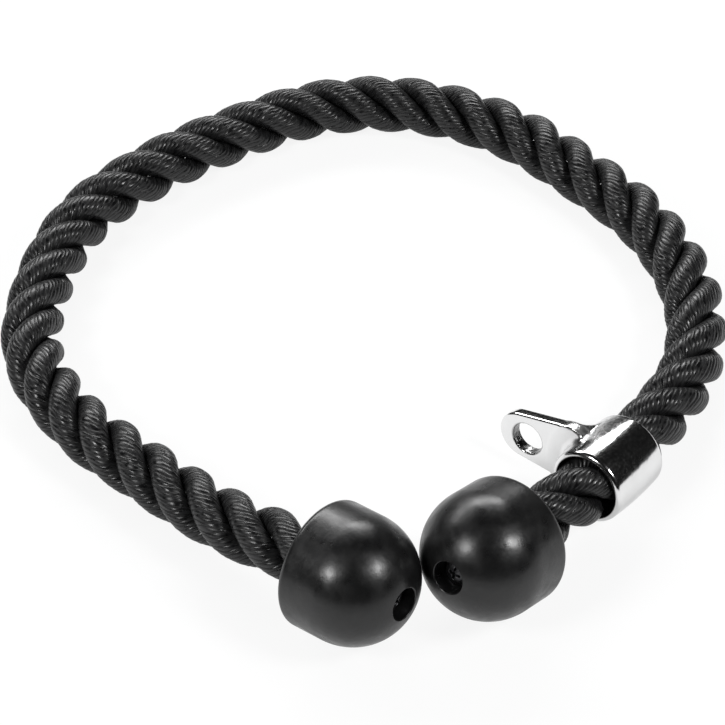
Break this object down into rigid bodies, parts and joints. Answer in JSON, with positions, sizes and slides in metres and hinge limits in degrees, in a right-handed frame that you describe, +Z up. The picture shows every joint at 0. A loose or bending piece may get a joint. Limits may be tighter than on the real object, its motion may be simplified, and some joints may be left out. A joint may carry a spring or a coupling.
{
  "type": "triceps rope attachment",
  "caption": "Thick laid rope in an open loop with a round rubber stop screwed on each end and a chrome collar whose flat lug has an eye for a cable hook.",
  "frame": {"origin": "on the surface that the object lies on, under the middle of the box round its two ball ends and its collar", "axes": "+Z up, +X to the right across the two ball ends, +Y back from the ball ends to the far side of the rope's loop"},
  "size_m": [0.3319, 0.3726, 0.0595],
  "materials": {
    "rope": "laid synthetic fibre rope, black, glossy filaments",
    "twine": "black twine, matt",
    "rubber": "moulded rubber, black, soft sheen",
    "dark_steel": "steel with a black finish",
    "chrome": "polished chrome plate on a steel casting"
  },
  "bodies": {
    "rope_and_ends": {"rope": "rope", "left_whipping": "twine", "right_whipping": "twine", "left_ball_end": "rubber", "right_ball_end": "rubber", "left_washer": "dark_steel", "right_washer": "dark_steel", "left_screw": "dark_steel", "right_screw": "dark_steel"},
    "collar": {"collar": "chrome"}
  },
  "joints": [
    {"name": "collar_swivel", "type": "hinge", "parent": "rope_and_ends", "child": "collar", "pos_m": [0.05846, 0.03459, 0.0195], "axis": [-0.6182, -0.7791, 0.1037], "continuous": true}
  ]
}
